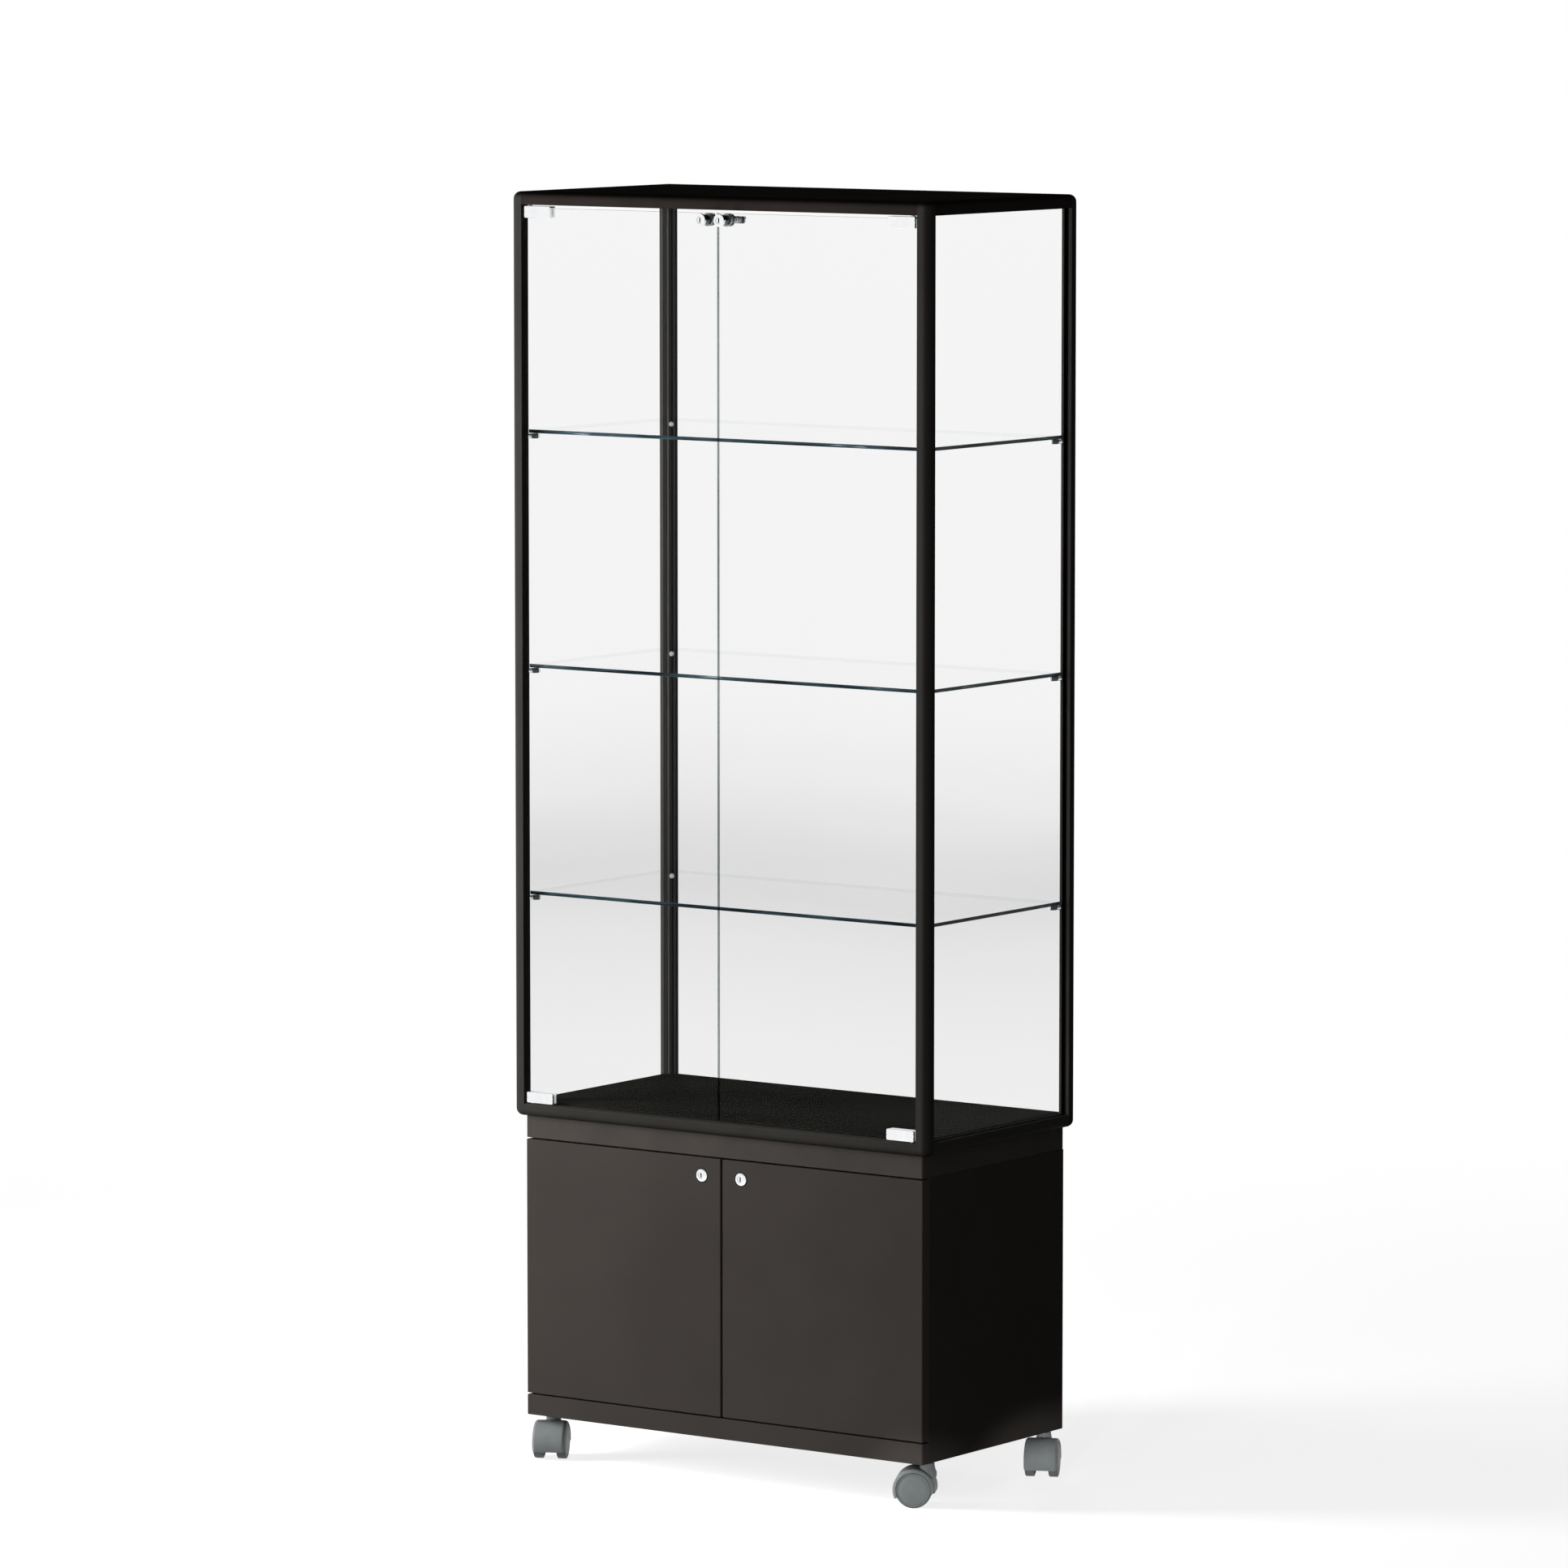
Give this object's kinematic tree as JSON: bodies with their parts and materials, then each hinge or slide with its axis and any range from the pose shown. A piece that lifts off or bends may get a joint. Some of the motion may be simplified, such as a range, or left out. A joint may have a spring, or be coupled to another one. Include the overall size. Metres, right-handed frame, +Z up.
{
  "type": "glass display case",
  "caption": "Tall glass display case in a slim dark frame with glass shelves and knob-locked glass doors, standing on a dark cupboard with casters.",
  "frame": {"origin": "on the floor, under the middle of the whole object's box", "axes": "+Z up, -Y out of the front with the doors, +X to the right seen from the front"},
  "size_m": [0.7302, 0.3856, 1.8],
  "materials": {
    "frame_finish": "satin dark brown-black on a square aluminium profile",
    "dark_panel": "matt black laminate on board",
    "cupboard_board": "matt brown-black laminate on board",
    "clear_glass": "clear toughened glass with a faint green edge",
    "chrome_fittings": "bright chrome plate",
    "plated_steel": "zinc plated steel",
    "caster_plastic": "moulded mid-grey nylon"
  },
  "bodies": {
    "root": {"front_left_post": "frame_finish", "front_right_post": "frame_finish", "back_left_post": "frame_finish", "back_right_post": "frame_finish", "top_front_rail": "frame_finish", "top_back_rail": "frame_finish", "base_front_rail": "frame_finish", "base_back_rail": "frame_finish", "top_left_rail": "frame_finish", "base_left_rail": "frame_finish", "top_right_rail": "frame_finish", "base_right_rail": "frame_finish", "top_panel": "dark_panel", "deck_panel": "dark_panel", "back_glass": "clear_glass", "left_side_glass": "clear_glass", "right_side_glass": "clear_glass", "lower_shelf": "clear_glass", "middle_shelf": "clear_glass", "upper_shelf": "clear_glass", "cupboard_top_board": "cupboard_board", "cupboard_bottom_board": "cupboard_board", "cupboard_back_board": "cupboard_board", "cupboard_fascia": "cupboard_board", "lock_strike_plate": "plated_steel", "cupboard_left_side": "cupboard_board", "left_upper_hinge_arm": "plated_steel", "left_lower_hinge_arm": "plated_steel", "cupboard_right_side": "cupboard_board", "right_upper_hinge_arm": "plated_steel", "right_lower_hinge_arm": "plated_steel", "front_left_caster_stem": "plated_steel", "front_right_caster_stem": "plated_steel", "back_right_caster_stem": "plated_steel", "back_left_caster_stem": "plated_steel"},
    "left_glass_leaf": {"left_glass_door": "clear_glass", "left_door_upper_clamp": "chrome_fittings", "left_door_lower_clamp": "chrome_fittings", "left_knob_lock_body": "chrome_fittings"},
    "right_glass_leaf": {"right_glass_door": "clear_glass", "right_door_upper_clamp": "chrome_fittings", "right_door_lower_clamp": "chrome_fittings", "right_knob_lock_body": "chrome_fittings"},
    "left_knob_cam": {"left_knob_lock_plug": "chrome_fittings"},
    "right_knob_cam": {"right_knob_lock_plug": "chrome_fittings"},
    "left_cupboard_leaf": {"left_cupboard_door": "cupboard_board", "left_cupboard_lock_body": "chrome_fittings"},
    "left_cupboard_cam": {"left_cupboard_lock_plug": "chrome_fittings"},
    "right_cupboard_leaf": {"right_cupboard_door": "cupboard_board", "right_cupboard_lock_body": "chrome_fittings"},
    "right_cupboard_cam": {"right_cupboard_lock_plug": "chrome_fittings"},
    "front_left_caster": {"front_left_caster_hood": "caster_plastic"},
    "front_left_wheelset": {"front_left_caster_wheels": "caster_plastic"},
    "front_right_caster": {"front_right_caster_hood": "caster_plastic"},
    "front_right_wheelset": {"front_right_caster_wheels": "caster_plastic"},
    "back_right_caster": {"back_right_caster_hood": "caster_plastic"},
    "back_right_wheelset": {"back_right_caster_wheels": "caster_plastic"},
    "back_left_caster": {"back_left_caster_hood": "caster_plastic"},
    "back_left_wheelset": {"back_left_caster_wheels": "caster_plastic"}
  },
  "joints": [
    {"name": "left_glass_door_hinge", "type": "hinge", "parent": "root", "child": "left_glass_leaf", "pos_m": [-0.326, -0.16975, 1.14615], "axis": [0, 0, -1], "range_deg": [0, 105]},
    {"name": "left_knob_lock_turn", "type": "hinge", "parent": "left_glass_leaf", "child": "left_knob_cam", "pos_m": [-0.016, -0.17225, 1.768], "axis": [0, 1, 0], "range_deg": [0, 90]},
    {"name": "left_cupboard_door_hinge", "type": "hinge", "parent": "root", "child": "left_cupboard_leaf", "pos_m": [-0.3413, -0.16575, 0.2775], "axis": [0, 0, -1], "range_deg": [0, 100]},
    {"name": "left_cupboard_lock_turn", "type": "hinge", "parent": "left_cupboard_leaf", "child": "left_cupboard_cam", "pos_m": [-0.0337, -0.16575, 0.4345], "axis": [0, 1, 0], "range_deg": [0, 90]},
    {"name": "right_glass_door_hinge", "type": "hinge", "parent": "root", "child": "right_glass_leaf", "pos_m": [0.326, -0.16975, 1.14615], "axis": [0, 0, 1], "range_deg": [0, 105]},
    {"name": "right_knob_lock_turn", "type": "hinge", "parent": "right_glass_leaf", "child": "right_knob_cam", "pos_m": [0.016, -0.17225, 1.768], "axis": [0, -1, 0], "range_deg": [0, 90]},
    {"name": "right_cupboard_door_hinge", "type": "hinge", "parent": "root", "child": "right_cupboard_leaf", "pos_m": [0.3413, -0.16575, 0.2775], "axis": [0, 0, 1], "range_deg": [0, 100]},
    {"name": "right_cupboard_lock_turn", "type": "hinge", "parent": "right_cupboard_leaf", "child": "right_cupboard_cam", "pos_m": [0.0337, -0.16575, 0.4345], "axis": [0, -1, 0], "range_deg": [0, 90]},
    {"name": "front_left_caster_swivel", "type": "hinge", "parent": "root", "child": "front_left_caster", "pos_m": [-0.3233, -0.12755, 0.061], "axis": [0, 0, 1], "continuous": true},
    {"name": "front_left_wheels_roll", "type": "hinge", "parent": "front_left_caster", "child": "front_left_wheelset", "pos_m": [-0.31572, -0.14276, 0.025], "axis": [0.8949, 0.4462, 0], "continuous": true},
    {"name": "front_right_caster_swivel", "type": "hinge", "parent": "root", "child": "front_right_caster", "pos_m": [0.3233, -0.12755, 0.061], "axis": [0, 0, 1], "continuous": true},
    {"name": "front_right_wheels_roll", "type": "hinge", "parent": "front_right_caster", "child": "front_right_wheelset", "pos_m": [0.30836, -0.13566, 0.025], "axis": [0.4772, -0.8788, 0], "continuous": true},
    {"name": "back_right_caster_swivel", "type": "hinge", "parent": "root", "child": "back_right_caster", "pos_m": [0.3233, 0.16195, 0.061], "axis": [0, 0, 1], "continuous": true},
    {"name": "back_right_wheels_roll", "type": "hinge", "parent": "back_right_caster", "child": "back_right_wheelset", "pos_m": [0.33088, 0.14674, 0.025], "axis": [0.8949, 0.4462, 0], "continuous": true},
    {"name": "back_left_caster_swivel", "type": "hinge", "parent": "root", "child": "back_left_caster", "pos_m": [-0.3233, 0.16195, 0.061], "axis": [0, 0, 1], "continuous": true},
    {"name": "back_left_wheels_roll", "type": "hinge", "parent": "back_left_caster", "child": "back_left_wheelset", "pos_m": [-0.33088, 0.14674, 0.025], "axis": [0.8949, -0.4462, 0], "continuous": true}
  ]
}
